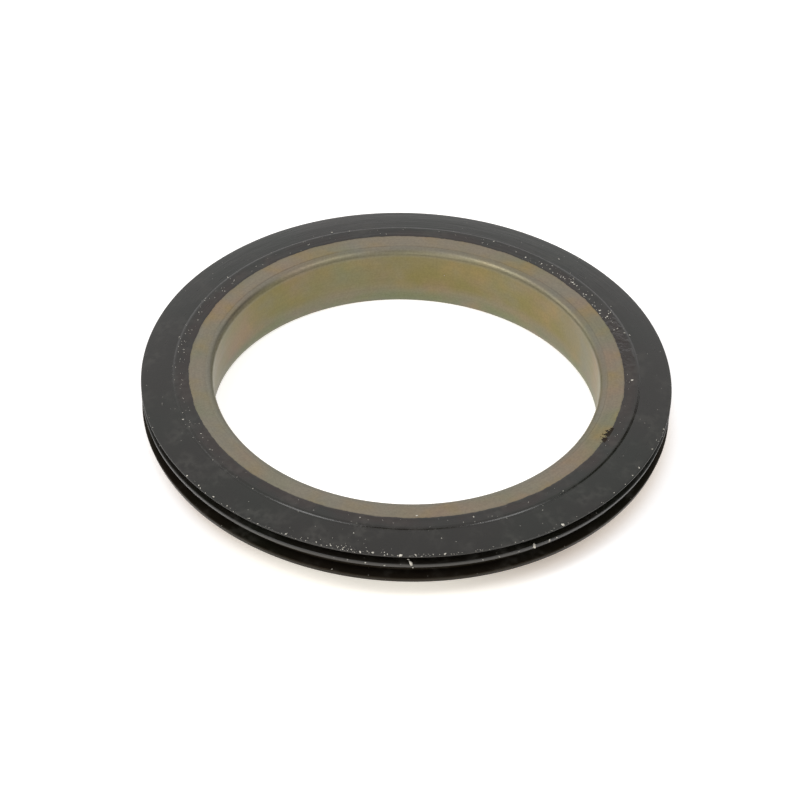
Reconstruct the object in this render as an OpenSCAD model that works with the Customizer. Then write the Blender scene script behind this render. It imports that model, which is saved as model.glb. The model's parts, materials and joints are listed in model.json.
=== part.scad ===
// Shaft oil seal: a pressed steel sleeve with a flange, and a moulded rubber ring with outer lips that is
// bonded to the flange's edge. The axis is Z, and the sleeve's free end stands on z = 0.
// Radii add up from the bore outwards: flange, band, step and face give 110 mm over the rim lip.

/* [Steel insert] */
// Diameter of the bore that is pressed onto the shaft
bore_d = 80; // [60:0.5:120]
// Height from the sleeve's free end to the flange's face
seal_h = 14; // [11:0.5:20]
// Thickness of the pressed sheet
sheet_t = 1.3; // [1:0.1:2]
// Inside radius of the bend between the sleeve and the flange
bend_in_r = 0.2; // [0.1:0.1:0.6]
// Width of the flange, from the bore's wall to the flange's outer edge
flange_w = 5.25; // [5:0.05:9]
// How far the bore opens at its lower end, which leads the shaft in
lead_w = 0.75; // [0.3:0.05:0.8]
// Height over which it opens
lead_h = 2.5; // [1:0.1:3]
// Chamfer of the sleeve's outer lower edge
end_chamfer = 0.15; // [0.05:0.05:0.15]

/* [Rubber ring] */
// Width of the flat rubber band beside the flange
band_w = 2.65; // [1.5:0.05:4]
// Width of the small step that ends the band
step_w = 0.65; // [0.3:0.05:0.9]
// Drop of that step
step_h = 0.35; // [0.1:0.05:0.5]
// Width of the sloped face, from the step's foot to the tip of the rim lip
face_w = 6.45; // [5:0.05:10]
// Drop from the flange's face to the top of the rim lip
rim_drop = 1.4; // [0.8:0.1:1.8]
// Thickness of the rubber behind the deepest groove, measured along the flat underside
back_w = 3.7; // [2:0.1:5]
// Width of the rubber that is bonded under the flange's edge
grip_w = 2.05; // [1:0.05:2.5]

/* [Lips] */
// Thickness of the rim lip at its tip
rim_lip_t = 0.75; // [0.5:0.05:0.9]
// Thickness of the middle lip at its tip
middle_lip_t = 1.1; // [0.6:0.1:1.4]
// Thickness of the lower lip at its tip
lower_lip_t = 1.3; // [0.8:0.1:1.5]
// Mouth of the upper groove, between the rim lip and the middle lip
upper_mouth = 1.5; // [1.1:0.05:1.8]
// Mouth of the lower groove, between the middle lip and the lower lip
lower_mouth = 2.75; // [2:0.05:3]
// Depth of the grooves between the lips
groove_depth = 2.6; // [1.5:0.1:3]
// Fall in radius from one lip to the next one down
lip_fall = 0.1; // [0:0.05:0.4]
// How far each lip's tip draws in from its upper to its lower edge
lip_taper = 0.3; // [0:0.05:0.5]
// Rounding of the lips' edges
lip_round = 0.2; // [0.1:0.05:0.25]
// Slope of each side of a lip, measured over the depth of the groove
lip_slope = 0.25; // [0:0.05:0.4]

/* [Hidden] */
$fn = 180;
arc_steps = 8;

bore_r = bore_d / 2;
sleeve_r = bore_r + sheet_t;
bend_r = bend_in_r + sheet_t;

// The opening is an arc that runs into the bore's wall
lead_r = (lead_w * lead_w + lead_h * lead_h) / (2 * lead_w);
lead_angle = asin(lead_h / lead_r);
flange_r = bore_r + flange_w;
flange_under_z = seal_h - sheet_t;

band_r = flange_r + band_w;
face_r = band_r + step_w;
rim_r = face_r + face_w;
rim_z = seal_h - rim_drop;

// Lips from the rim down
lip_thickness = [rim_lip_t, middle_lip_t, lower_lip_t];
mouths = [upper_mouth, lower_mouth];
last_lip = len(lip_thickness) - 1;

function lip_r(k) = rim_r - k * lip_fall;
function lip_top(k) = k == 0 ? rim_z : lip_bottom(k - 1) - mouths[k - 1];
function lip_bottom(k) = lip_top(k) - lip_thickness[k];

underside_z = lip_bottom(last_lip);
foot_r = lip_r(last_lip) - groove_depth - back_w;
grip_r = flange_r - grip_w;

// Points of an arc round centre, between two angles
function arc(centre, r, from, to) =
    [for (i = [0:arc_steps]) let (a = from + (to - from) * i / arc_steps) centre + r * [cos(a), sin(a)]];

// Rounded and tapered tip of lip k, followed downwards
function lip_tip(k) =
    let (x = lip_r(k) - lip_round, lean = -atan(lip_taper / (lip_thickness[k] - 2 * lip_round)))
    concat(
        arc([x, lip_top(k) - lip_round], lip_round, 90, lean),
        arc([x - lip_taper, lip_bottom(k) + lip_round], lip_round, lean, -90));

// Floor of the groove under lip k
function groove_floor(k) =
    let (x = lip_r(k) - groove_depth)
    [[x, lip_bottom(k) - lip_slope], [x, lip_top(k + 1) + lip_slope]];

// Pressed sheet: the sleeve, the bend and the flange in one section
module steel_insert() {
    color([0.56, 0.53, 0.44])
    rotate_extrude()
    polygon(concat(
        arc([bore_r + lead_r, lead_h], lead_r, 180 + lead_angle, 180),
        arc([bore_r + bend_r, seal_h - bend_r], bend_r, 180, 90),
        [[flange_r, seal_h], [flange_r, flange_under_z]],
        arc([sleeve_r + bend_in_r, flange_under_z - bend_in_r], bend_in_r, 90, 180),
        [[sleeve_r, end_chamfer], [sleeve_r - end_chamfer, 0]]
    ));
}

// Moulded ring: flat band, small step, sloped face, lips, flat underside and the grip under the flange
module rubber_ring() {
    color([0.14, 0.14, 0.13])
    rotate_extrude()
    polygon(concat(
        [[flange_r, seal_h], [band_r, seal_h], [face_r, seal_h - step_h]],
        [for (k = [0:last_lip]) each (k < last_lip ? concat(lip_tip(k), groove_floor(k)) : lip_tip(k))],
        [[foot_r, underside_z], [grip_r, flange_under_z], [flange_r, flange_under_z]]
    ));
}

steel_insert();
rubber_ring();
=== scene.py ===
import json
import math
import random

import bmesh
import bpy
from bpy.props import FloatProperty, FloatVectorProperty, IntProperty, PointerProperty
from mathutils import Matrix, Quaternion, Vector, noise


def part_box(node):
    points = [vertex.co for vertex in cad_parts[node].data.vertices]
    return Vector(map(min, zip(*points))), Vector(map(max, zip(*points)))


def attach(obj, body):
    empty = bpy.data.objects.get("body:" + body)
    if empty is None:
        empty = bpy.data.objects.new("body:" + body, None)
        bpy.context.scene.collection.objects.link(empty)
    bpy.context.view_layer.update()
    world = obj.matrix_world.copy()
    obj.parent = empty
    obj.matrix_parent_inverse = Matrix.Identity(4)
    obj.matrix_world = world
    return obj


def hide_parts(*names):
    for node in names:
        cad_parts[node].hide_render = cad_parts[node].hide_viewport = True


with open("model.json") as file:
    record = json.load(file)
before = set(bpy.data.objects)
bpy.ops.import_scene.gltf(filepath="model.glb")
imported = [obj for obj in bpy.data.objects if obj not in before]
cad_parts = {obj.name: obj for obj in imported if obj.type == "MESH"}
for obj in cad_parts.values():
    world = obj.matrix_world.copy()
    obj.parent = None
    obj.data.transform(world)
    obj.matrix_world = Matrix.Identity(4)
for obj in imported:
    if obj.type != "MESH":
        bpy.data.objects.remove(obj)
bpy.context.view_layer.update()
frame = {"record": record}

bl_info = {
    "name": "Flanged Shaft Seal",
    "version": (1, 0, 0),
    "blender": (4, 5, 0),
    "location": "View3D > Sidebar > Shaft Seal",
    "description": "Builds a steel and rubber shaft seal, its dust and a plain studio around it",
    "category": "Object",
}

MM = 0.001
STEEL_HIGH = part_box("steel_insert")[1]
RUBBER_LOW, RUBBER_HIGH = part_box("rubber_ring")
BORE_R = next(m["dims"]["r_mm"] for m in frame["record"]["mounts"] if m["name"] == "bore") * MM
# Radius of the crease where the bend begins, and of the middle of the rubber's small step
CREASE_R = BORE_R + 1.65 * MM
STEP_R = STEEL_HIGH.x + 3 * MM
# Middle of the scuffed place on the band, at the right and a little behind
WORN_PLACE = (0.0445, 0.0125, 0.014)
# Below this height the rubber is matt and a little browner, which takes in the lower lip
MATT_BELOW = 9.2 * MM
# Half of the angle that the torn tongue of flash takes up, in degrees
TORN_HALF = 3.2


class SealSizes(bpy.types.PropertyGroup):
    """Sizes of the seal's section, as the solids have them, and how finely it is turned"""

    sheet: FloatProperty(
        name="Sheet", description="Thickness of the pressed sheet",
        default=1.3 * MM, min=1 * MM, max=2 * MM, unit="LENGTH", precision=5)
    bend_inside: FloatProperty(
        name="Bend", description="Inside radius of the bend between the sleeve and the flange",
        default=0.2 * MM, min=0.1 * MM, max=0.6 * MM, unit="LENGTH", precision=5)
    lead: FloatProperty(
        name="Lead-in", description="How far the bore opens at its lower end",
        default=0.75 * MM, min=0.3 * MM, max=0.8 * MM, unit="LENGTH", precision=5)
    lead_height: FloatProperty(
        name="Lead-in height", description="Height over which the bore opens",
        default=2.5 * MM, min=1 * MM, max=3 * MM, unit="LENGTH", precision=5)
    band: FloatProperty(
        name="Band", description="Width of the flat rubber band beside the flange",
        default=2.4 * MM, min=1.5 * MM, max=4 * MM, unit="LENGTH", precision=5)
    crease: FloatProperty(
        name="Crease", description="Depth of the faint crease where the bend begins",
        default=0.05 * MM, min=0, max=0.1 * MM, unit="LENGTH", precision=5)
    crown: FloatProperty(
        name="Crown", description="Rounding of the band's outer edge, where it steps down",
        default=1.0 * MM, min=0.3 * MM, max=1.5 * MM, unit="LENGTH", precision=5)
    hollow: FloatProperty(
        name="Hollow", description="Rounding at the foot of the step",
        default=0.6 * MM, min=0.2 * MM, max=1 * MM, unit="LENGTH", precision=5)
    step_angle: FloatProperty(
        name="Step angle", description="Steepest slope of the step",
        default=math.radians(40), min=math.radians(20), max=math.radians(60), subtype="ANGLE")
    rim_drop: FloatProperty(
        name="Rim drop", description="Drop from the flange's face to the top of the rim lip",
        default=1.4 * MM, min=0.8 * MM, max=1.8 * MM, unit="LENGTH", precision=5)
    bulge: FloatProperty(
        name="Bulge", description="How far the sloped face rises over a straight line",
        default=0.09 * MM, min=0, max=0.2 * MM, unit="LENGTH", precision=5)
    middle_drop: FloatProperty(
        name="Middle drop", description="Drop from the flange's face to the top of the middle lip",
        default=3.65 * MM, min=3 * MM, max=5 * MM, unit="LENGTH", precision=5)
    lower_drop: FloatProperty(
        name="Lower drop", description="Drop from the flange's face to the top of the lower lip",
        default=7.5 * MM, min=6.5 * MM, max=8 * MM, unit="LENGTH", precision=5)
    back: FloatProperty(
        name="Back", description="Rubber behind the deepest groove, along the flat underside",
        default=3.7 * MM, min=2 * MM, max=5 * MM, unit="LENGTH", precision=5)
    grip: FloatProperty(
        name="Grip", description="Width of the rubber that is bonded under the flange",
        default=2.05 * MM, min=1 * MM, max=2.5 * MM, unit="LENGTH", precision=5)
    rim_lip: FloatProperty(
        name="Rim lip", description="Thickness of the rim lip at its tip",
        default=0.75 * MM, min=0.3 * MM, max=1 * MM, unit="LENGTH", precision=5)
    middle_lip: FloatProperty(
        name="Middle lip", description="Thickness of the middle lip at its tip",
        default=1.1 * MM, min=0.6 * MM, max=1.4 * MM, unit="LENGTH", precision=5)
    lower_lip: FloatProperty(
        name="Lower lip", description="Thickness of the lower lip at its tip",
        default=1.3 * MM, min=0.6 * MM, max=1.6 * MM, unit="LENGTH", precision=5)
    groove: FloatProperty(
        name="Groove", description="Depth of the grooves between the lips",
        default=2.6 * MM, min=1 * MM, max=3 * MM, unit="LENGTH", precision=5)
    lip_fall: FloatProperty(
        name="Lip fall", description="Fall in radius from one lip to the next one down",
        default=0.1 * MM, min=0, max=0.4 * MM, unit="LENGTH", precision=5)
    lip_round: FloatProperty(
        name="Lip rounding", description="Rounding of the lips' edges",
        default=0.2 * MM, min=0.1 * MM, max=0.5 * MM, unit="LENGTH", precision=5)
    taper: FloatProperty(
        name="Taper", description="How far each lip's tip draws in from its upper to its lower edge",
        default=0.3 * MM, min=0, max=0.6 * MM, unit="LENGTH", precision=5)
    lip_slope: FloatProperty(
        name="Lip slope", description="Slope of each side of a lip over the depth of the groove",
        default=0.25 * MM, min=0, max=0.4 * MM, unit="LENGTH", precision=5)
    turn_steps: IntProperty(
        name="Turn steps", description="Number of faces round the axis", default=540, min=90, max=720)


class SealFinish(bpy.types.PropertyGroup):
    """Colours of the finishes and the strength of the light"""

    steel: FloatVectorProperty(
        name="Passivated steel", description="Main tone of the passivated steel",
        subtype="COLOR", size=3, default=(0.222, 0.19, 0.142), min=0, max=1)
    steel_olive: FloatVectorProperty(
        name="Olive film", description="Tone of the thick olive film",
        subtype="COLOR", size=3, default=(0.198, 0.168, 0.062), min=0, max=1)
    steel_rose: FloatVectorProperty(
        name="Rose film", description="Tone of the thin rose film",
        subtype="COLOR", size=3, default=(0.262, 0.178, 0.12), min=0, max=1)
    steel_green: FloatVectorProperty(
        name="Green film", description="Tone of the thin green film",
        subtype="COLOR", size=3, default=(0.168, 0.188, 0.1), min=0, max=1)
    steel_gold: FloatVectorProperty(
        name="Gold film", description="Tone of the golden spots in the film",
        subtype="COLOR", size=3, default=(0.27, 0.195, 0.075), min=0, max=1)
    steel_grey: FloatVectorProperty(
        name="Bare grey", description="Tone where the film is rubbed thin",
        subtype="COLOR", size=3, default=(0.19, 0.187, 0.153), min=0, max=1)
    rubber: FloatVectorProperty(
        name="Rubber", description="Tone of the black rubber",
        subtype="COLOR", size=3, default=(0.0076, 0.0062, 0.0044), min=0, max=1)
    rubber_brown: FloatVectorProperty(
        name="Brown rubber", description="Tone of the rubber near the metal",
        subtype="COLOR", size=3, default=(0.0125, 0.0065, 0.0042), min=0, max=1)
    rubber_green: FloatVectorProperty(
        name="Green rubber", description="Tone of the greenish patches of the rubber",
        subtype="COLOR", size=3, default=(0.0058, 0.007, 0.0042), min=0, max=1)
    dust: FloatVectorProperty(
        name="Dust", description="Tone of the flakes and fibres",
        subtype="COLOR", size=3, default=(0.62, 0.59, 0.52), min=0, max=1)
    floor: FloatVectorProperty(
        name="Floor", description="Tone of the studio floor",
        subtype="COLOR", size=3, default=(0.89, 0.86, 0.82), min=0, max=1)
    floor_glow: FloatVectorProperty(
        name="Floor glow", description="What the floor adds to its own tone, so that it reads as white",
        subtype="COLOR", size=3, default=(0.25, 0.2, 0.16), min=0, max=1)
    key_power: FloatProperty(
        name="Key light", description="Power of the soft light at the camera's left",
        default=5.0, min=0, max=100, unit="POWER")
    fill_power: FloatProperty(
        name="Fill light", description="Power of the soft light at the camera's right",
        default=3.0, min=0, max=100, unit="POWER")
    low_power: FloatProperty(
        name="Low light", description="Power of the low light at the far left",
        default=1.6, min=0, max=100, unit="POWER")
    front_power: FloatProperty(
        name="Front light", description="Power of the low wide light under the camera",
        default=2.0, min=0, max=100, unit="POWER")
    surround: FloatProperty(
        name="Surroundings", description="Strength of the even light from all round",
        default=0.85, min=0, max=2)


# Sections of the two turned parts

def arc(centre_x, centre_z, radius, start, end, steps=8):
    """Points (x, z) of an arc between two angles in degrees"""
    angles = [math.radians(start + (end - start) * i / steps) for i in range(steps + 1)]
    return [(centre_x + radius * math.cos(a), centre_z + radius * math.sin(a)) for a in angles]


def straight(start, end, pieces):
    """Points (x, z) that cut a straight stretch into pieces, without its two ends"""
    (x0, z0), (x1, z1) = start, end
    shares = [i / pieces for i in range(1, pieces)]
    return [(x0 + (x1 - x0) * s, z0 + (z1 - z0) * s) for s in shares]


def insert_outline(sizes):
    """Section of the pressed sheet: bore, bend, flange, underside and sleeve"""
    top = STEEL_HIGH.z
    flange_r = STEEL_HIGH.x
    bend = sizes.bend_inside + sizes.sheet
    sleeve_r = BORE_R + sizes.sheet
    under = top - sizes.sheet
    lead_r = (sizes.lead ** 2 + sizes.lead_height ** 2) / (2 * sizes.lead)
    lead_angle = math.degrees(math.asin(sizes.lead_height / lead_r))
    lead = arc(BORE_R + lead_r, sizes.lead_height, lead_r, 180 + lead_angle, 180)
    outside = arc(BORE_R + bend, top - bend, bend, 180, 90, 14)
    inside = arc(sleeve_r + sizes.bend_inside, under - sizes.bend_inside, sizes.bend_inside, 90, 180)
    burr = 0.15 * MM
    end = arc(sleeve_r - burr, burr, burr, 360, 270, 4)
    crease_half = 0.12 * MM
    crease = [(CREASE_R - crease_half, top), (CREASE_R, top - sizes.crease), (CREASE_R + crease_half, top)]
    outside = [point for point in outside if point[0] < crease[0][0]]
    wall = straight(lead[-1], outside[0], 6)
    flange = straight(crease[-1], (flange_r, top), 6) + [(flange_r, top), (flange_r, under)]
    return lead + wall + outside + crease + flange + inside + end


def lip_tip(sizes, k):
    """Rounded tip of lip k, followed downwards; it draws in towards its lower edge"""
    drop = (sizes.rim_drop, sizes.middle_drop, sizes.lower_drop)[k]
    thick = (sizes.rim_lip, sizes.middle_lip, sizes.lower_lip)[k]
    taper = (1.2, 0.7, 1)[k] * sizes.taper
    start, end = (78, 84, 84)[k], -86
    tip_r = RUBBER_HIGH.x - k * sizes.lip_fall
    top = RUBBER_HIGH.z - drop
    bottom = top - thick
    rounding = min(sizes.lip_round, thick / 2)
    lean = -math.degrees(math.atan2(taper, thick))
    upper = arc(tip_r - rounding, top - rounding, rounding, start, lean, 6)
    return upper + arc(tip_r - taper - rounding, bottom + rounding, rounding, lean, end, 6)


def groove_floor(sizes, above, below, k):
    """Rounded floor of the groove between the tips above and below"""
    floor_r = RUBBER_HIGH.x - k * sizes.lip_fall - sizes.groove
    fillet = 0.35 * MM
    high = above[-1][1] - sizes.lip_slope - fillet
    low = below[0][1] + sizes.lip_slope + fillet
    return (arc(floor_r + fillet, high, fillet, 90, 180, 5)
            + arc(floor_r + fillet, low, fillet, 180, 270, 5))


def ring_outline(sizes):
    """Section of the rubber: band, step, sloped face, lips, underside and grip"""
    top = RUBBER_HIGH.z
    flange_r = STEEL_HIGH.x
    slope = sizes.step_angle
    crown = arc(flange_r + sizes.band, top - sizes.crown, sizes.crown, 90, 90 - math.degrees(slope), 6)
    hollow_x = crown[-1][0] + sizes.hollow * math.sin(slope)
    hollow_z = crown[-1][1] + sizes.hollow * math.cos(slope)
    hollow_end = 264
    hollow = arc(hollow_x, hollow_z, sizes.hollow, 270 - math.degrees(slope), hollow_end, 5)
    step = crown + hollow[1:]
    band = [(flange_r, top), (flange_r + 0.05 * MM, top)]
    band += straight(band[-1], crown[0], 4)
    tips = [lip_tip(sizes, k) for k in range(3)]
    pieces = 12
    face = straight(step[-1], tips[0][0], pieces)
    rises = [4 * sizes.bulge * i * (pieces - i) / pieces ** 2 for i in range(1, pieces)]
    points = band + step + [(x, z + rise) for (x, z), rise in zip(face, rises)]
    for k, tip in enumerate(tips):
        points += tip
        if k < len(tips) - 1:
            points += groove_floor(sizes, tip, tips[k + 1], k)
    foot_r = RUBBER_HIGH.x - 2 * sizes.lip_fall - sizes.groove - sizes.back
    under = top - sizes.sheet
    corner = 0.5 * MM
    foot = arc(foot_r + corner, tips[-1][-1][1] + corner, corner, 270, 210, 4)
    return points + foot + [(flange_r - sizes.grip, under), (flange_r, under)]


# Meshes

def finish_mesh(name, bm, materials, sharp_angle=38):
    """Turns a bmesh into an object at the origin, smooth except at its sharp edges"""
    bmesh.ops.recalc_face_normals(bm, faces=bm.faces)
    limit = math.radians(sharp_angle)
    for face in bm.faces:
        face.smooth = True
    for edge in bm.edges:
        if len(edge.link_faces) == 2:
            edge.smooth = edge.calc_face_angle(0) < limit
    mesh = bpy.data.meshes.new(name)
    bm.to_mesh(mesh)
    bm.free()
    piece = bpy.data.objects.new(name, mesh)
    bpy.context.scene.collection.objects.link(piece)
    for material in materials:
        mesh.materials.append(material)
    return piece


def spun(outline, steps, sectors=18):
    """A bmesh of a closed section turned round the Z axis, one sector first and then its copies"""
    bm = bmesh.new()
    corners = [bm.verts.new((x, 0, z)) for x, z in outline]
    edges = [bm.edges.new((a, b)) for a, b in zip(corners, corners[1:] + corners[:1])]
    bmesh.ops.spin(
        bm, geom=corners + edges, cent=(0, 0, 0), axis=(0, 0, 1),
        angle=2 * math.pi / sectors, steps=steps // sectors, use_merge=False)
    sector = bm.verts[:] + bm.edges[:] + bm.faces[:]
    for k in range(1, sectors):
        copied = bmesh.ops.duplicate(bm, geom=sector)["geom"]
        turn = Matrix.Rotation(2 * math.pi * k / sectors, 3, "Z")
        verts = [part for part in copied if isinstance(part, bmesh.types.BMVert)]
        bmesh.ops.rotate(bm, cent=(0, 0, 0), matrix=turn, verts=verts)
    bmesh.ops.remove_doubles(bm, verts=bm.verts, dist=0.001 * MM)
    return bm


def polar(radius, angle, z):
    """The point at a radius, an angle in degrees and a height"""
    a = math.radians(angle)
    return Vector((radius * math.cos(a), radius * math.sin(a), z))


def angle_of(point):
    """A point's angle round the axis, in degrees"""
    return math.degrees(math.atan2(point.y, point.x))


def degrees_apart(a, b):
    """The smaller angle between two directions, in degrees"""
    return abs((a - b + 180) % 360 - 180)


def place_on_top(radius, angle, sizes):
    """A point of the rubber's or the flange's upper face, at a radius and an angle in degrees"""
    foot = sizes.crown * math.sin(sizes.step_angle) + sizes.hollow * 0.5
    drop = (sizes.crown + 0.6 * sizes.hollow) * (1 - math.cos(sizes.step_angle))
    face_r = STEEL_HIGH.x + sizes.band + foot
    rim_r = RUBBER_HIGH.x - sizes.lip_round
    share = max(0.0, min(1.0, (radius - face_r) / (rim_r - face_r)))
    z = RUBBER_HIGH.z
    if radius > face_r - foot / 2:
        z -= drop + (sizes.rim_drop - drop) * share
    return polar(radius, angle, z)


def ring_noise(angle, height, frequency, seed):
    """Smooth noise that closes on itself round the ring, about -1 to 1"""
    a = math.radians(angle)
    return noise.noise(Vector((math.cos(a) * frequency, math.sin(a) * frequency, height + seed)))


# Shader helpers

def new_material(name, values):
    """A material with one Principled shader: the material, its node tree and the shader"""
    material = bpy.data.materials.new(name)
    material.use_nodes = True
    tree = material.node_tree
    tree.nodes.clear()
    shader = add(tree, "ShaderNodeBsdfPrincipled", values)
    out = add(tree, "ShaderNodeOutputMaterial")
    tree.links.new(shader.outputs[0], out.inputs[0])
    return material, tree, shader


def add(tree, kind, inputs=None, **settings):
    """Adds a node, sets its properties, and fills its inputs with values or links"""
    node = tree.nodes.new(kind)
    for key, value in settings.items():
        setattr(node, key, value)
    for key, value in (inputs or {}).items():
        if isinstance(value, bpy.types.NodeSocket):
            tree.links.new(value, node.inputs[key])
        else:
            node.inputs[key].default_value = value
    return node


def math_node(tree, operation, a, b=0.0):
    """Output of a Math node"""
    return add(tree, "ShaderNodeMath", {0: a, 1: b}, operation=operation).outputs[0]


def times(tree, first, *others):
    """Output of the Math nodes that multiply values"""
    for other in others:
        first = math_node(tree, "MULTIPLY", first, other)
    return first


def plus(tree, first, *others):
    """Output of the Math nodes that add values"""
    for other in others:
        first = math_node(tree, "ADD", first, other)
    return first


def off_by(tree, value, middle):
    """Output for how far a value is from a middle one, either way"""
    return math_node(tree, "ABSOLUTE", math_node(tree, "SUBTRACT", value, middle))


def distance_from(tree, where, point):
    """Output for the distance from a point"""
    return add(tree, "ShaderNodeVectorMath", {0: where, 1: point}, operation="DISTANCE").outputs["Value"]


def seen_plainly(tree):
    """Output that is 1 for the camera, a gloss or a clear thing, and 0 for soft light"""
    path = add(tree, "ShaderNodeLightPath")
    seen = math_node(tree, "MAXIMUM", path.outputs["Is Camera Ray"], path.outputs["Is Glossy Ray"])
    return math_node(tree, "MAXIMUM", seen, path.outputs["Is Transmission Ray"])


def map_range(tree, value, low, high, to_low=0.0, to_high=1.0):
    """Output of a clamped, smooth Map Range node"""
    return add(
        tree, "ShaderNodeMapRange",
        {"Value": value, "From Min": low, "From Max": high, "To Min": to_low, "To Max": to_high},
        interpolation_type="SMOOTHSTEP").outputs["Result"]


def mix_colour(tree, factor, a, b, blend="MIX"):
    """Output of a colour Mix node, whose inputs 0, 6 and 7 are the factor and the two colours"""
    node = add(tree, "ShaderNodeMix", data_type="RGBA", blend_type=blend)
    for index, value in ((0, factor), (6, a), (7, b)):
        if isinstance(value, bpy.types.NodeSocket):
            tree.links.new(value, node.inputs[index])
        else:
            node.inputs[index].default_value = value if index == 0 else (*value[:3], 1)
    return node.outputs[2]


def noise_node(tree, vector, scale, detail, roughness):
    """Factor output of a noise texture"""
    return add(
        tree, "ShaderNodeTexNoise",
        {"Vector": vector, "Scale": scale, "Detail": detail, "Roughness": roughness}).outputs["Fac"]


def group_sockets(name, inputs, outputs):
    """An empty shader node group with its sockets, and its input and output nodes"""
    tree = bpy.data.node_groups.new(name, "ShaderNodeTree")
    for label, kind, default in inputs:
        socket = tree.interface.new_socket(label, in_out="INPUT", socket_type=kind)
        if default is not None:
            socket.default_value = default
    for label, kind in outputs:
        tree.interface.new_socket(label, in_out="OUTPUT", socket_type=kind)
    return tree, tree.nodes.new("NodeGroupInput"), tree.nodes.new("NodeGroupOutput")


def ring_parts(tree, vector):
    """Outputs for a place's x, y and z, and for its distance from the axis"""
    x, y, z = add(tree, "ShaderNodeSeparateXYZ", {0: vector}).outputs
    squares = plus(tree, times(tree, x, x), times(tree, y, y))
    return x, y, z, math_node(tree, "SQRT", squares)


def turned_lines_group():
    """Fine lines that run round the axis, as turning and moulding leave them"""
    tree, given, made = group_sockets(
        "Turned Lines",
        [("Vector", "NodeSocketVector", None), ("Lines per Metre", "NodeSocketFloat", 4000.0),
         ("Along", "NodeSocketFloat", 3.0)],
        [("Lines", "NodeSocketFloat")])
    x, y, z, radius = ring_parts(tree, given.outputs["Vector"])
    along = given.outputs["Along"]
    round_x = times(tree, math_node(tree, "DIVIDE", x, radius), along)
    round_y = times(tree, math_node(tree, "DIVIDE", y, radius), along)
    across = times(tree, math_node(tree, "SUBTRACT", radius, z), given.outputs["Lines per Metre"])
    vector = add(tree, "ShaderNodeCombineXYZ", {0: round_x, 1: round_y, 2: across}).outputs[0]
    tree.links.new(noise_node(tree, vector, 1.0, 4.0, 0.6), made.inputs["Lines"])
    return tree


def ring_place_group():
    """Distance from the axis and height, in millimetres"""
    tree, given, made = group_sockets(
        "Ring Place", [("Vector", "NodeSocketVector", None)],
        [("Radius", "NodeSocketFloat"), ("Height", "NodeSocketFloat")])
    _, _, z, radius = ring_parts(tree, given.outputs["Vector"])
    tree.links.new(times(tree, radius, 1 / MM), made.inputs["Radius"])
    tree.links.new(times(tree, z, 1 / MM), made.inputs["Height"])
    return tree


def blotches_group():
    """Soft blotches with a ragged edge, from 0 to 1"""
    tree, given, made = group_sockets(
        "Blotches",
        [("Vector", "NodeSocketVector", None), ("Scale", "NodeSocketFloat", 60.0),
         ("Low", "NodeSocketFloat", 0.45), ("High", "NodeSocketFloat", 0.65),
         ("Shift", "NodeSocketFloat", 0.0)],
        [("Mask", "NodeSocketFloat")])
    shift = given.outputs["Shift"]
    sideways = add(tree, "ShaderNodeCombineXYZ", {0: shift, 1: shift}).outputs[0]
    moved = add(
        tree, "ShaderNodeVectorMath", {0: given.outputs["Vector"], 1: sideways}, operation="ADD").outputs[0]
    soft = noise_node(tree, moved, given.outputs["Scale"], 3.0, 0.45)
    mask = map_range(tree, soft, given.outputs["Low"], given.outputs["High"])
    tree.links.new(mask, made.inputs["Mask"])
    return tree


def specks_group():
    """Fine pale specks of settled dust, from 0 to 1"""
    tree, given, made = group_sockets(
        "Dust Specks",
        [("Vector", "NodeSocketVector", None), ("Scale", "NodeSocketFloat", 900.0),
         ("Size", "NodeSocketFloat", 0.16), ("Share", "NodeSocketFloat", 0.5)],
        [("Mask", "NodeSocketFloat")])
    cells = add(
        tree, "ShaderNodeTexVoronoi",
        {"Vector": given.outputs["Vector"], "Scale": given.outputs["Scale"]}, feature="F1")
    off_middle = math_node(tree, "DIVIDE", cells.outputs["Distance"], given.outputs["Size"])
    dots = map_range(tree, off_middle, 1.0, 0.6)
    pick = add(tree, "ShaderNodeSeparateColor", {0: cells.outputs["Color"]}).outputs[0]
    chosen = math_node(tree, "LESS_THAN", pick, given.outputs["Share"])
    tree.links.new(times(tree, dots, chosen), made.inputs["Mask"])
    return tree


def place_group(tree, name, inputs, output=0):
    """Adds a shared node group, which is built when it is first asked for, and gives one of its outputs"""
    makers = {
        "Turned Lines": turned_lines_group, "Ring Place": ring_place_group,
        "Blotches": blotches_group, "Dust Specks": specks_group}
    shared = bpy.data.node_groups.get(name) or makers[name]()
    return add(tree, "ShaderNodeGroup", inputs, node_tree=shared).outputs[output]


def turned_lines(tree, where, per_metre, along):
    """Output of the lines that run round the axis"""
    return place_group(
        tree, "Turned Lines", {"Vector": where, "Lines per Metre": per_metre, "Along": along})


def spots(tree, where, scale, low, high, shift):
    """Output of the soft blotches"""
    return place_group(
        tree, "Blotches", {"Vector": where, "Scale": scale, "Low": low, "High": high, "Shift": shift})


# Materials

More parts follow.
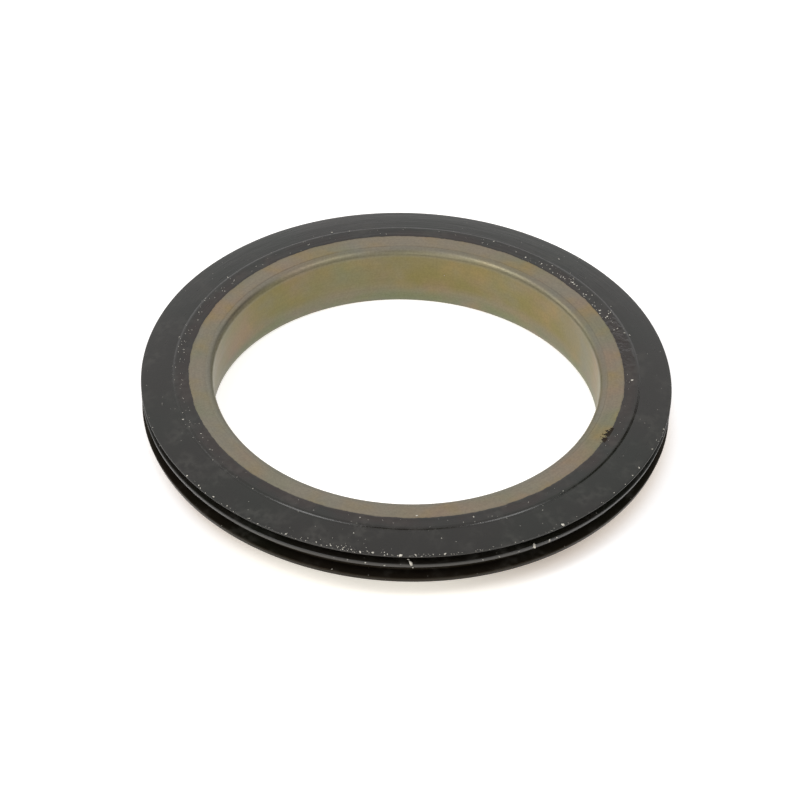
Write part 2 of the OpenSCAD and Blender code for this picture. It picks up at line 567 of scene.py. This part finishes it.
def passivated_steel(finish):
    """Zinc-plated sheet under a dull film that drifts between olive, rose, gold, green and grey"""
    material, tree, shader = new_material("passivated_steel", {"Metallic": 0.82, "Specular IOR Level": 0.5})
    where = add(tree, "ShaderNodeTexCoord").outputs["Object"]
    across, back, _ = add(tree, "ShaderNodeSeparateXYZ", {0: where}).outputs
    radius = place_group(tree, "Ring Place", {"Vector": where}, "Radius")
    height = place_group(tree, "Ring Place", {"Vector": where}, "Height")
    lines = turned_lines(tree, where, 2600.0, 2.0)
    grain = noise_node(tree, where, 2400.0, 2.0, 0.6)

    # Where the film differs; radii and heights are in millimetres
    bore, top, joint = BORE_R / MM, STEEL_HIGH.z / MM, STEEL_HIGH.x / MM
    wall = map_range(tree, radius, bore + 1.0, bore + 0.1)
    in_bore = times(tree, wall, map_range(tree, height, 2.0, 6.0))
    patchy = plus(tree, times(tree, spots(tree, where, 60.0, 0.35, 0.6, 0.3), 0.4), 0.6)
    low_film = map_range(tree, height, 4.5, 1.5, 0.0, 0.8)
    bend = times(
        tree, map_range(tree, radius, bore + 2.0, bore + 1.2), map_range(tree, height, top - 2.0, top - 1.0))
    left_front = map_range(tree, plus(tree, across, back), -0.01, -0.05, 0.0, 0.32)

    # Colour: the olive bore, four drifting films (size, low, high, shift and strength), and the worn places
    colour = mix_colour(tree, times(tree, in_bore, patchy), finish.steel, finish.steel_olive)
    films = (
        (75.0, 0.4, 0.75, 1.1, 0.6, finish.steel_green),
        (105.0, 0.4, 0.78, 2.7, 0.75, finish.steel_rose),
        (150.0, 0.45, 0.8, 4.9, 0.7, finish.steel_gold),
        (120.0, 0.45, 0.78, 6.3, 0.45, finish.steel_grey))
    for scale, low, high, shift, strength, film in films:
        mask = times(tree, spots(tree, where, scale, low, high, shift), strength)
        colour = mix_colour(tree, mask, colour, film)
    low_spots = times(tree, low_film, spots(tree, where, 110.0, 0.3, 0.6, 8.2))
    colour = mix_colour(tree, low_spots, colour, finish.steel_green)
    colour = mix_colour(tree, times(tree, bend, 0.4), colour, finish.steel_grey)
    colour = mix_colour(tree, left_front, colour, finish.steel_grey)

    # Tone: fine lines and grain, painted light that makes the wall paler at the right, a darker joint, painted
    # shade that darkens the bend and the wall, and a painted dark line of shade at the crease on the rear half
    # Painted light: the bore wall is made paler towards the right, where the light falls on it
    painted_right_light = times(tree, wall, map_range(tree, across, -0.01, 0.035, 0.0, 0.14))
    # Painted shade: a thin dark line at the crease, on the rear half only
    off_crease = off_by(tree, radius, CREASE_R / MM)
    shade = times(
        tree, map_range(tree, off_crease, 0.25, 0.05, 0.0, -0.16), map_range(tree, back, 0.0, 0.025))
    # The tone also darkens the bend and the bore wall by a set share, as painted shade in the bore
    tone = times(
        tree, map_range(tree, lines, 0.3, 0.7, 0.94, 1.05), map_range(tree, grain, 0.3, 0.7, 0.93, 1.07),
        plus(tree, painted_right_light, 1.0), map_range(tree, radius, joint - 0.55, joint - 0.05, 1.0, 0.82),
        map_range(tree, radius, bore + 2.0, bore + 0.3, 1.0, 0.88), plus(tree, shade, 1.0))
    grey = add(tree, "ShaderNodeCombineColor", {0: tone, 1: tone, 2: tone}).outputs[0]
    tree.links.new(mix_colour(tree, 1.0, colour, grey, "MULTIPLY"), shader.inputs["Base Color"])

    rough = plus(tree, map_range(tree, lines, 0.3, 0.7, 0.42, 0.50), times(tree, bend, -0.05))
    tree.links.new(rough, shader.inputs["Roughness"])
    relief = plus(tree, times(tree, lines, 0.4), times(tree, grain, 0.6))
    bump = add(tree, "ShaderNodeBump", {"Strength": 0.2, "Distance": 0.06 * MM, "Height": relief})
    tree.links.new(bump.outputs["Normal"], shader.inputs["Normal"])
    return material


def black_rubber(finish, name="black_rubber", gloss=0.45, warmth=0.0):
    """Moulded rubber: near black, satin, with faint flow lines, smudges and settled dust"""
    material, tree, shader = new_material(name, {
        "Specular IOR Level": gloss, "IOR": 1.52,
        "Specular Tint": (1, 1 - 0.3 * warmth, 1 - 0.7 * warmth, 1)})
    where = add(tree, "ShaderNodeTexCoord").outputs["Object"]
    back = add(tree, "ShaderNodeSeparateXYZ", {0: where}).outputs[1]
    radius = place_group(tree, "Ring Place", {"Vector": where}, "Radius")
    lines = turned_lines(tree, where, 1500.0, 5.0)
    flow = turned_lines(tree, where, 700.0, 4.0)
    grain = noise_node(tree, where, 2600.0, 2.0, 0.55)

    # Masks; radii are in millimetres
    step = STEP_R / MM
    green = times(tree, spots(tree, where, 45.0, 0.42, 0.62, 2.2), 0.8)
    near_metal = times(
        tree, map_range(tree, radius, step + 0.35, step - 1.75), spots(tree, where, 140.0, 0.35, 0.6, 0.7))
    scuffs = times(
        tree, map_range(tree, distance_from(tree, where, WORN_PLACE), 0.011, 0.004),
        map_range(tree, radius, step - 0.25, step - 0.85), spots(tree, where, 520.0, 0.4, 0.6, 7.7))
    smudge = times(
        tree, spots(tree, where, 170.0, 0.45, 0.7, 3.9), spots(tree, where, 700.0, 0.35, 0.65, 5.1))
    specks = place_group(
        tree, "Dust Specks", {"Vector": where, "Scale": 1100.0, "Size": 0.13, "Share": 0.10})
    dusty = plus(tree, times(tree, smudge, 0.024), times(tree, specks, 0.3))
    on_step = map_range(tree, off_by(tree, radius, step), 0.7, 0.4)
    streaks = times(tree, flow, map_range(tree, back, 0.0, 0.04, 0.0, 0.5))

    colour = mix_colour(tree, green, finish.rubber, finish.rubber_green)
    for brown in (near_metal, 0.2 * warmth, times(tree, scuffs, 0.75)):
        colour = mix_colour(tree, brown, colour, finish.rubber_brown)
    tree.links.new(mix_colour(tree, dusty, colour, finish.dust), shader.inputs["Base Color"])

    # The step is glossier in front and duller at the rear
    rough = plus(
        tree, map_range(tree, lines, 0.3, 0.7, 0.27, 0.34), times(tree, smudge, 0.15),
        times(tree, on_step, map_range(tree, back, -0.02, 0.03, -0.08, 0.08)), times(tree, specks, 0.3))
    tree.links.new(rough, shader.inputs["Roughness"])

    relief = plus(tree, times(tree, lines, 0.35), times(tree, grain, 0.65))
    dents = add(tree, "ShaderNodeBump", {
        "Strength": 0.8, "Distance": 0.25 * MM, "Height": plus(tree, scuffs, streaks)})
    bump = add(tree, "ShaderNodeBump", {
        "Strength": 0.3, "Distance": 0.08 * MM, "Height": relief, "Normal": dents.outputs["Normal"]})
    tree.links.new(bump.outputs["Normal"], shader.inputs["Normal"])
    return material


def pale_dust_and_glints(finish):
    """Dull cream crumbs and lint, also used for the flakes that are painted highlight on the lips' edges"""
    material, tree, shader = new_material("pale_dust_and_glints", {"Specular IOR Level": 0.2, "Roughness": 0.9})
    where = add(tree, "ShaderNodeTexCoord").outputs["Object"]
    lumps = noise_node(tree, where, 1400.0, 3.0, 0.6)
    dark = tuple(c * 0.6 for c in finish.dust)
    colour = mix_colour(tree, map_range(tree, lumps, 0.35, 0.65), dark, finish.dust)
    tree.links.new(colour, shader.inputs["Base Color"])
    bump = add(tree, "ShaderNodeBump", {"Strength": 0.5, "Distance": 0.05 * MM, "Height": lumps})
    tree.links.new(bump.outputs["Normal"], shader.inputs["Normal"])
    return material


def studio_floor(finish):
    """White floor that shows the seal's shadow, and reads as plain white to the camera; its glow is raised as
    painted light beyond a circle round the seal, where it ends the shadow, in a pool in front, and inside the
    bore
    """
    material, tree, shader = new_material("studio_floor", {
        "Base Color": (*finish.floor, 1), "Roughness": 0.7, "Specular IOR Level": 0.2})
    where = add(tree, "ShaderNodeTexCoord").outputs["Object"]
    radius = place_group(tree, "Ring Place", {"Vector": where}, "Radius")
    # Painted light: the glow is raised beyond a circle round the seal, which ends its shadow there, in a pool
    # of light in front of the seal, and inside the bore
    painted_light_past_shadow = map_range(tree, distance_from(tree, where, (0.001, 0.0015, 0)), 0.052, 0.0565)
    painted_light_pool = map_range(tree, distance_from(tree, where, (-0.008, -0.06, 0)), 0.05, 0.012)
    inside = map_range(tree, radius, BORE_R / MM + 1.4, BORE_R / MM + 0.2)
    glow = finish.floor_glow
    for mask, tone in (
            (painted_light_past_shadow, (0.4, 0.4, 0.42)), (painted_light_pool, (0.56, 0.53, 0.47)),
            (inside, (0.5, 0.5, 0.5))):
        glow = mix_colour(tree, mask, glow, tone)
    tree.links.new(glow, shader.inputs["Emission Color"])
    tree.links.new(seen_plainly(tree), shader.inputs["Emission Strength"])
    return material


# Pieces

class SEAL_OT_steel_insert(bpy.types.Operator):
    """Turn the pressed steel insert from its section"""

    bl_idname = "seal.steel_insert"
    bl_label = "Steel Insert"

    def execute(self, context):
        sizes = context.scene.seal_sizes
        finish = context.scene.seal_finish
        bm = spun(insert_outline(sizes), sizes.turn_steps)
        piece = finish_mesh("pressed_insert", bm, [passivated_steel(finish)])
        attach(piece, "root")
        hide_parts("steel_insert")
        return {"FINISHED"}


class SEAL_OT_rubber_ring(bpy.types.Operator):
    """Turn the moulded rubber ring from its section, with the slight waviness of real rubber"""

    bl_idname = "seal.rubber_ring"
    bl_label = "Rubber Ring"

    def execute(self, context):
        sizes = context.scene.seal_sizes
        finish = context.scene.seal_finish
        bm = spun(ring_outline(sizes), sizes.turn_steps)
        start = STEEL_HIGH.x + sizes.band
        fade, height, wave_length = 4 * MM, 0.08 * MM, 6 * MM
        for vert in bm.verts:
            radius = math.hypot(vert.co.x, vert.co.y)
            if radius > start and vert.co.z > RUBBER_LOW.z + 0.2 * MM:
                share = min(1.0, (radius - start) / fade)
                wave = ring_noise(angle_of(vert.co), vert.co.z / wave_length, 2.5, 4.0) * height * share
                inwards = 1 - abs(wave) / radius
                vert.co = (vert.co.x * inwards, vert.co.y * inwards, vert.co.z + wave * 0.5)
        for face in bm.faces:
            face.material_index = int(face.calc_center_median().z < MATT_BELOW)
        matt = black_rubber(finish, "matt_rubber", gloss=0.1, warmth=0.7)
        piece = finish_mesh("moulded_ring", bm, [black_rubber(finish), matt])
        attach(piece, "root")
        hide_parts("rubber_ring")
        return {"FINISHED"}


class SEAL_OT_rubber_flash(bpy.types.Operator):
    """Lay the thin ragged edge of rubber flash over the flange's outer edge"""

    bl_idname = "seal.rubber_flash"
    bl_label = "Rubber Flash"

    torn_at: FloatProperty(
        name="Torn at", description="Angle of the torn tongue of flash",
        default=math.radians(-23), subtype="ANGLE")
    loose_bits: IntProperty(
        name="Loose bits", description="Small bits round the torn tongue", default=26, min=0)
    seed: IntProperty(name="Seed", description="Seed of the loose bits", default=5, min=0)

    def execute(self, context):
        flange_r = STEEL_HIGH.x
        top = STEEL_HIGH.z
        film = 0.025 * MM
        inner_r = flange_r - 0.3 * MM
        outline = [
            (inner_r, top - 0.02 * MM), (inner_r, top + 0.3 * film),
            (flange_r - 0.15 * MM, top + film), (flange_r + 0.3 * MM, top + film),
            (flange_r + 0.9 * MM, top - 0.005 * MM)]
        steps = 1080
        bm = spun(outline, steps)
        torn = math.degrees(self.torn_at)
        thin_edge, least = 0.15, 0.02
        for vert in bm.verts:
            radius = math.hypot(vert.co.x, vert.co.y)
            if radius > flange_r:
                continue
            reach = self.reach(angle_of(vert.co), torn)
            if radius > flange_r - 0.25 * MM:
                reach -= thin_edge
            moved = flange_r - max(least, reach) * MM
            vert.co.x *= moved / radius
            vert.co.y *= moved / radius
        rng = random.Random(self.seed)
        for _ in range(self.loose_bits):
            angle = torn + rng.gauss(0, 1.7)
            radius = flange_r - abs(rng.gauss(0.1, 0.55)) * MM
            add_crumb(bm, polar(radius, angle, top), rng.uniform(0.12, 0.4) * MM, rng)
        for face in bm.faces:
            at = face.calc_center_median()
            near = degrees_apart(angle_of(at), torn) < TORN_HALF + 0.3
            face.material_index = int(near and math.hypot(at.x, at.y) < flange_r + 0.1 * MM)
        rubbers = list(bpy.data.objects["moulded_ring"].data.materials)
        piece = finish_mesh("rubber_flash", bm, rubbers)
        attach(piece, "root")
        return {"FINISHED"}

    def reach(self, angle, torn):
        """How far the film reaches over the metal at an angle, in millimetres"""
        ragged = 0.14 * ring_noise(angle, 0, 14, 1.0) + 0.12 * ring_noise(angle, 0, 60, 2.0)
        tongue = 0.0
        off = degrees_apart(angle, torn) / TORN_HALF
        if off < 1:
            spikes = 0.35 + 2.2 * ring_noise(angle, 0, 130, 7.0)
            tongue = max(0.0, spikes) * (1 - off ** 2) * 1.3
        return 0.18 + ragged + tongue


# Flakes and fibres of dust, placed as they lie on the seal: angle in degrees, radius and drop below the
# flange's face in millimetres, length in millimetres. Some flakes on the rim's edge at the left and right
# front, and on the middle lip, are also painted highlight, where those edges catch the light.
BIG_FLAKES_AND_GLINTS = (
    (-87.9, 54.8, 3.3, 1.25), (-87.4, 54.7, 4.6, 0.55), (-88.4, 54.5, 2.6, 0.50), (-90.1, 54.7, 1.4, 0.85),
    (-80.7, 54.6, 1.3, 0.75), (-86.9, 54.6, 1.3, 0.60), (-83.2, 54.6, 1.3, 0.40), (-92.8, 54.7, 1.3, 0.40),
    (-95.9, 54.5, 1.3, 0.65), (-97.1, 54.3, 1.3, 0.45), (-98.5, 54.8, 1.3, 0.55), (-100.4, 54.5, 1.3, 0.40),
    (-102.2, 54.3, 1.3, 0.36), (-104.9, 54.4, 1.3, 0.42), (-108.1, 54.4, 1.3, 0.42), (-114.9, 54.6, 1.3, 0.65),
    (-124.0, 54.6, 1.3, 0.35), (-130.1, 54.6, 1.3, 0.42), (-134.2, 54.6, 1.3, 0.50), (-138.9, 54.6, 1.3, 0.42),
    (-143.0, 54.7, 1.4, 0.50), (-160.3, 54.7, 1.4, 0.30), (-53.8, 54.7, 1.3, 0.80), (-42.7, 54.6, 1.3, 0.25),
    (-38.5, 54.5, 1.3, 0.35), (-31.5, 54.5, 1.3, 0.35), (-28.6, 54.5, 1.3, 0.50), (-21.7, 54.5, 1.3, 0.40),
    (-14.5, 54.8, 1.4, 0.36), (-18.6, 54.3, 1.3, 0.25), (-60.9, 54.8, 3.9, 1.15), (-57.2, 54.8, 3.9, 0.75),
    (-64.5, 54.8, 4.0, 0.45), (-69.0, 54.8, 4.0, 0.55), (-72.6, 54.8, 4.0, 0.35), (-55.4, 54.8, 3.9, 0.40),
    (-93.3, 54.8, 4.2, 0.50), (-97.3, 54.8, 3.9, 0.50), (-101.2, 54.8, 3.9, 0.45), (-104.0, 54.8, 3.9, 0.35),
    (-163.9, 54.8, 4.0, 0.28), (-15.3, 54.8, 2.7, 0.24), (-88.9, 54.6, 7.7, 0.40), (-99.1, 54.6, 7.8, 0.38),
    (-104.5, 54.6, 7.4, 0.34), (-53.0, 54.6, 7.6, 0.36), (-93.5, 54.6, 7.9, 0.25), (-72.4, 54.6, 7.8, 0.22),
    (-0.2, 46.7, 0.0, 0.72), (-159.6, 48.4, 0.3, 0.55), (-72.0, 46.4, 0.0, 0.50), (51.5, 50.8, 0.7, 0.52),
    (53.0, 51.2, 0.8, 0.28), (48.9, 54.4, 1.3, 0.28), (-80.9, 50.6, 0.7, 0.47), (115.7, 48.1, 0.2, 0.46),
    (110.3, 49.0, 0.4, 0.42), (142.5, 48.5, 0.3, 0.48), (18.4, 47.7, 0.0, 0.46), (-128.8, 48.0, 0.2, 0.45),
    (-100.5, 46.2, 0.0, 0.44), (-70.9, 48.1, 0.2, 0.38), (36.1, 46.2, 0.0, 0.40), (-86.2, 44.4, 0.0, 0.42),
    (-152.7, 46.7, 0.0, 0.36), (-151.1, 46.9, 0.0, 0.30), (153.7, 47.9, 0.1, 0.33), (-21.7, 44.7, 0.0, 0.25),
    (-100.9, 50.3, 0.6, 0.30), (175.0, 46.5, 0.0, 0.28), (-131.6, 48.0, 0.2, 0.27), (161.5, 46.4, 0.0, 0.26),
    (-55.4, 49.6, 0.5, 0.26), (-57.1, 46.6, 0.0, 0.25), (-174.0, 46.4, 0.0, 0.26), (-94.8, 46.1, 0.0, 0.24),
    (136.5, 48.1, 0.2, 0.24), (165.8, 46.5, 0.0, 0.22), (179.1, 48.1, 0.2, 0.22), (79.4, 39.95, 5.8, 0.26),
)


def add_crumb(bm, centre, length, rng, tilt=0.0):
    """One irregular crumb of dust, lying flat or tilted up by an angle in degrees"""
    made = bmesh.ops.create_icosphere(bm, subdivisions=1, radius=1.0)
    half = Vector((length * 0.5, length * rng.uniform(0.22, 0.4), length * rng.uniform(0.16, 0.3)))
    turn = Quaternion((0, 0, 1), rng.uniform(0, math.tau)) @ Quaternion((1, 0, 0), rng.uniform(-0.5, 0.5))
    turn = turn @ Quaternion((0, 1, 0), math.radians(tilt))
    for vert in made["verts"]:
        lump = 1 + 0.35 * rng.uniform(-1, 1)
        vert.co = centre + turn @ (Vector(vert.co[i] * half[i] for i in range(3)) * lump)


class SEAL_OT_dust(bpy.types.Operator):
    """Scatter the crumbs of dust over the band, the rim and the lips; some listed flakes on the rim's edge and
    the middle lip are also painted highlight
    """

    bl_idname = "seal.dust"
    bl_label = "Dust"

    seed: IntProperty(name="Seed", description="Seed of the small crumbs", default=11, min=0)
    band_count: IntProperty(
        name="On the band", description="Small crumbs near the metal", default=110, min=0)
    patch_count: IntProperty(
        name="At the rear right", description="Crumbs in the dusty patch", default=80, min=0)
    left_count: IntProperty(
        name="At the left", description="Crumbs along the step at the left", default=60, min=0)
    rim_count: IntProperty(
        name="On the rim", description="Small crumbs at the front rim", default=110, min=0)
    face_count: IntProperty(
        name="On the face", description="Fine crumbs left of the front", default=58, min=0)

    def execute(self, context):
        sizes = context.scene.seal_sizes
        finish = context.scene.seal_finish
        rng = random.Random(self.seed)
        bm = bmesh.new()
        # Listed flakes; some on the rim's edge and the middle lip are painted highlight as well as dust
        for angle, radius, drop, length in BIG_FLAKES_AND_GLINTS:
            tilt = 60 if drop > 2.5 and length > 0.7 else 0
            centre = polar(radius * MM, angle, STEEL_HIGH.z - drop * MM)
            add_crumb(bm, centre, length * MM, rng, tilt)
        for _ in range(self.band_count):
            angle = rng.uniform(0, 360)
            radius = STEEL_HIGH.x + rng.uniform(0.2, 3.4) * MM
            add_crumb(bm, place_on_top(radius, angle, sizes), rng.uniform(0.08, 0.22) * MM, rng)
        for _ in range(self.patch_count):
            radius = STEEL_HIGH.x + abs(rng.gauss(0.9, 1.0)) * MM
            length = 0.1 + 0.42 * rng.random() ** 2
            add_crumb(bm, place_on_top(radius, rng.gauss(40, 13), sizes), length * MM, rng)
        for _ in range(self.left_count):
            radius = STEEL_HIGH.x + rng.uniform(0.8, 3.4) * MM
            add_crumb(bm, place_on_top(radius, rng.gauss(174, 17), sizes), rng.uniform(0.1, 0.26) * MM, rng)
        # Count, then what draws the distance from the rim, the angle and the length
        in_front = (
            (self.rim_count, (0.2, 0.25), (-98, 28), (0.08, 0.24)),
            (self.face_count, (1.4, 1.2), (-103, 5.5), (0.14, 0.34)))
        for count, inwards, angles, lengths in in_front:
            for _ in range(count):
                radius = RUBBER_HIGH.x - abs(rng.gauss(*inwards)) * MM
                centre = place_on_top(radius, rng.gauss(*angles), sizes)
                add_crumb(bm, centre, rng.uniform(*lengths) * MM, rng)
        piece = finish_mesh("dust_crumbs_and_glints", bm, [pale_dust_and_glints(finish)], sharp_angle=60)
        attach(piece, "root")
        return {"FINISHED"}


class SEAL_OT_stage(bpy.types.Operator):
    """Set up the floor, the camera, the lights and the plain white surroundings"""

    bl_idname = "seal.stage"
    bl_label = "Stage"

    elevation: FloatProperty(
        name="Elevation", description="Camera's height angle", default=math.radians(40.32), subtype="ANGLE")
    roll: FloatProperty(
        name="Roll", description="Camera's roll to the left", default=math.radians(1.82), subtype="ANGLE")
    distance: FloatProperty(
        name="Distance", description="From the camera to the seal's rim plane, at the axis",
        default=1.0358, min=0.1, unit="LENGTH")
    lens: FloatProperty(
        name="Lens", description="Focal length in millimetres on a 36 mm sensor", default=225.0, min=10)

    def execute(self, context):
        scene = context.scene
        finish = scene.seal_finish
        bm = bmesh.new()
        floor_half = 3.0
        bmesh.ops.create_grid(bm, x_segments=1, y_segments=1, size=floor_half)
        floor = finish_mesh("studio_floor", bm, [studio_floor(finish)])
        self.add_flag()
        self.add_camera(scene)
        self.add_lights(scene, finish)
        self.add_world(scene, finish)
        scene.view_settings.view_transform = "Standard"
        return {"FINISHED"}

    def add_flag(self):
        """Dark cloths over the camera and at the right, which show only in gloss and keep edges crisp"""
        cloth = new_material("dark_cloth", {"Base Color": (0.02, 0.02, 0.02, 1), "Roughness": 1.0})[0]
        bm = bmesh.new()
        over_camera = (Matrix(), (0.9, 0.3, 1.0), (0, -0.72, 1.3))
        at_right = (Matrix.Rotation(math.radians(90), 4, "Y"), (1.0, 0.8, 0.5), (1.25, 0.7, 1.0))
        for turn, scale, place in (over_camera, at_right):
            verts = bmesh.ops.create_grid(bm, x_segments=1, y_segments=1, size=1.0, matrix=turn)["verts"]
            bmesh.ops.scale(bm, vec=scale, verts=verts)
            bmesh.ops.translate(bm, vec=place, verts=verts)
        flag = finish_mesh("flag", bm, [cloth])
        flag.visible_camera = False
        flag.visible_diffuse = False
        flag.visible_transmission = False
        flag.visible_shadow = False

    def add_camera(self, scene):
        """Camera at the photograph's angle, aimed a little in front of the axis"""
        rim_plane = 12.5 * MM
        aim = Vector((-1.2, -7.0, 12.4)) * MM
        eye = Vector((0, -math.cos(self.elevation), math.sin(self.elevation))) * self.distance
        eye.z += rim_plane
        data = bpy.data.cameras.new("camera")
        data.sensor_width = 36
        data.lens = self.lens
        data.clip_start = 0.01
        data.clip_end = 20
        camera = bpy.data.objects.new("camera", data)
        camera.rotation_mode = "QUATERNION"
        camera.location = eye
        camera.rotation_quaternion = (aim - eye).to_track_quat("-Z", "Y") @ Quaternion((0, 0, 1), self.roll)
        scene.collection.objects.link(camera)
        scene.camera = camera

    def add_lights(self, scene, finish):
        """Soft lights at the camera's left and right, and low ones at the far left and in front"""
        self.add_area(scene, "key_left", (-0.64, -0.47, 1.03), 0.5, 0.6, finish.key_power)
        self.add_area(scene, "fill_right", (0.68, -0.39, 1.03), 0.4, 0.45, finish.fill_power)
        self.add_area(scene, "low_left", (-1.2, 0.17, 0.55), 0.4, 0.6, finish.low_power)
        self.add_area(scene, "low_front", (-0.3, -1.2, 0.42), 1.0, 0.4, finish.front_power)

    def add_area(self, scene, name, place, width, height, power):
        """One rectangular light that looks at the seal"""
        data = bpy.data.lights.new(name, "AREA")
        data.shape = "RECTANGLE"
        data.size = width
        data.size_y = height
        data.energy = power
        light = bpy.data.objects.new(name, data)
        light.location = place
        light.rotation_mode = "QUATERNION"
        light.rotation_quaternion = (-Vector(place)).to_track_quat("-Z", "Y")
        scene.collection.objects.link(light)

    def add_world(self, scene, finish):
        """Even light all round, and plain white wherever the camera or a reflection sees it"""
        world = bpy.data.worlds.new("studio")
        world.use_nodes = True
        tree = world.node_tree
        tree.nodes.clear()
        lit = add(tree, "ShaderNodeBackground", {"Color": (1, 1, 1, 1), "Strength": finish.surround})
        white = add(tree, "ShaderNodeBackground", {"Color": (1, 1, 1, 1), "Strength": 1.0})
        mixed = add(
            tree, "ShaderNodeMixShader", {0: seen_plainly(tree), 1: lit.outputs[0], 2: white.outputs[0]})
        out = add(tree, "ShaderNodeOutputWorld")
        tree.links.new(mixed.outputs[0], out.inputs[0])
        scene.world = world


class SEAL_PT_panel(bpy.types.Panel):
    """Sizes, finishes and pieces of the seal"""

    bl_idname = "SEAL_PT_panel"
    bl_label = "Shaft Seal"
    bl_space_type = "VIEW_3D"
    bl_region_type = "UI"
    bl_category = "Shaft Seal"

    def draw(self, context):
        layout = self.layout
        for owner in (context.scene.seal_sizes, context.scene.seal_finish):
            box = layout.box()
            for key in owner.bl_rna.properties.keys():
                if key not in ("rna_type", "name"):
                    box.prop(owner, key)
        for piece in PIECES:
            layout.operator(piece.bl_idname)


PIECES = (SEAL_OT_steel_insert, SEAL_OT_rubber_ring, SEAL_OT_rubber_flash, SEAL_OT_dust, SEAL_OT_stage)
CLASSES = (SealSizes, SealFinish, *PIECES, SEAL_PT_panel)


def register():
    """Register the classes and hang the settings on the scene"""
    for cls in CLASSES:
        bpy.utils.register_class(cls)
    bpy.types.Scene.seal_sizes = PointerProperty(type=SealSizes)
    bpy.types.Scene.seal_finish = PointerProperty(type=SealFinish)


def unregister():
    """Take the settings off the scene and unregister the classes"""
    del bpy.types.Scene.seal_finish
    del bpy.types.Scene.seal_sizes
    for cls in reversed(CLASSES):
        bpy.utils.unregister_class(cls)


def main():
    """Build the seal and its stage"""
    register()
    bpy.ops.seal.steel_insert()
    bpy.ops.seal.rubber_ring()
    bpy.ops.seal.rubber_flash()
    bpy.ops.seal.dust()
    bpy.ops.seal.stage()
    bpy.context.view_layer.update()


if __name__ == "__main__":
    main()
